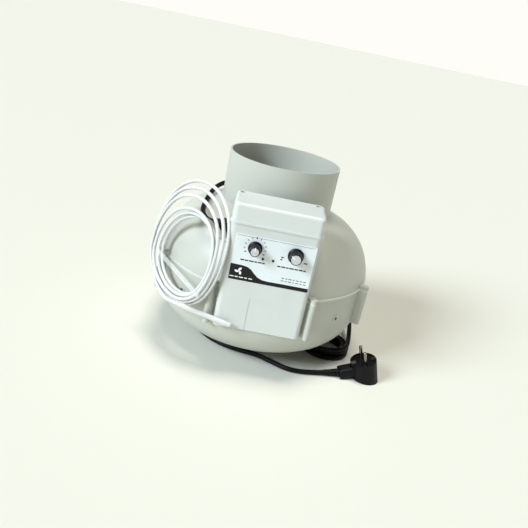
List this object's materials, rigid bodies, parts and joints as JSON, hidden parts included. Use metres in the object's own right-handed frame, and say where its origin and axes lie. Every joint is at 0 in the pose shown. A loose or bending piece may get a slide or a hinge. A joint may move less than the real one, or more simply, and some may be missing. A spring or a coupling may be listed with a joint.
{
  "type": "inline duct fan",
  "caption": "Inline duct fan with a belted plastic casing, front control box with two dials, coiled sensor lead and mains lead with plug.",
  "frame": {"origin": "centre of the inlet collar's rim, which stands on the floor", "axes": "+Z along the duct axis towards the outlet, -Y towards the control box's front"},
  "size_m": [0.3588, 0.3276, 0.276],
  "materials": {
    "housing_plastic": "light warm grey, fine moulded texture",
    "box_plastic": "off-white, fine moulded texture",
    "gasket_rubber": "soft light grey",
    "impeller_plastic": "glass-filled, dark grey",
    "nozzle_plastic": "light grey",
    "motor_steel": "turned steel",
    "screw_steel": "zinc plated",
    "motor_aluminium": "cast, machined face",
    "winding_copper": "enamelled copper, varnished",
    "label_foil": "printed white film, black band",
    "knob_plastic": "black",
    "cap_plastic": "light grey with white pointer",
    "lamp_lens": "dark tinted lens",
    "board_laminate": "green solder mask",
    "component_plastic": "black moulded",
    "relay_plastic": "blue case",
    "capacitor_plastic": "white case",
    "terminal_plastic": "natural nylon",
    "gland_plastic": "black nylon",
    "cord_pvc": "black flexible PVC sheath",
    "sensor_pvc": "white flexible PVC sheath",
    "probe_shell": "white moulded probe",
    "probe_tip": "dark end seal",
    "tape_film": "clear adhesive tape",
    "plug_plastic": "black moulded",
    "pin_nickel": "nickel plated brass"
  },
  "bodies": {
    "casing": {"board_screws": "screw_steel", "box_lid": "box_plastic", "carrier_screws": "screw_steel", "circuit_board": "board_laminate", "coil_tape": "tape_film", "control_box": "box_plastic", "cord_gland": "gland_plastic", "flange_screws": "screw_steel", "front_label": "label_foil", "gland_cap": "gland_plastic", "gland_locknut": "gland_plastic", "housing_screws": "screw_steel", "indicator_lamps": "lamp_lens", "inlet_nozzle": "nozzle_plastic", "lead_grommet": "gasket_rubber", "lid_gasket": "gasket_rubber", "lid_screws": "screw_steel", "lower_bearing": "motor_steel", "lower_housing": "housing_plastic", "mains_coil": "cord_pvc", "mains_cord": "cord_pvc", "mains_cord_end": "cord_pvc", "motor_capacitor": "capacitor_plastic", "motor_flange": "motor_aluminium", "motor_lead": "cord_pvc", "plug_body": "plug_plastic", "plug_contacts": "pin_nickel", "plug_pins": "pin_nickel", "plug_relief": "plug_plastic", "probe_cap": "probe_tip", "probe_lead": "sensor_pvc", "relay": "relay_plastic", "seam_gasket": "gasket_rubber", "sensor_coil": "sensor_pvc", "sensor_grommet": "gasket_rubber", "sensor_lead": "sensor_pvc", "sensor_probe": "probe_shell", "speed_control": "component_plastic", "stator_core": "motor_steel", "stator_windings": "winding_copper", "temperature_control": "component_plastic", "terminal_block": "terminal_plastic", "transformer": "component_plastic", "triac_heatsink": "motor_aluminium", "upper_bearing": "motor_steel", "upper_housing": "housing_plastic", "vane_carrier": "nozzle_plastic"},
    "rotor": {"rotor_can": "motor_steel", "rotor_cage": "motor_aluminium", "motor_shaft": "motor_steel", "shaft_clip": "motor_steel", "impeller_wheel": "impeller_plastic", "impeller_shroud": "impeller_plastic", "impeller_screws": "screw_steel"},
    "temperature_dial": {"temperature_shaft": "motor_steel", "temperature_knob": "knob_plastic", "temperature_cap": "cap_plastic"},
    "speed_dial": {"speed_shaft": "motor_steel", "speed_knob": "knob_plastic", "speed_cap": "cap_plastic"}
  },
  "joints": [
    {"name": "impeller_spin", "type": "hinge", "parent": "casing", "child": "rotor", "pos_m": [0, 0, 0.1], "axis": [0, 0, 1], "continuous": true},
    {"name": "temperature_turn", "type": "hinge", "parent": "casing", "child": "temperature_dial", "pos_m": [-0.022, -0.16, 0.1896], "axis": [0, -1, 0], "range_deg": [-57, 213]},
    {"name": "speed_turn", "type": "hinge", "parent": "casing", "child": "speed_dial", "pos_m": [0.0292, -0.16, 0.1896], "axis": [0, -1, 0], "range_deg": [-3, 267]}
  ]
}
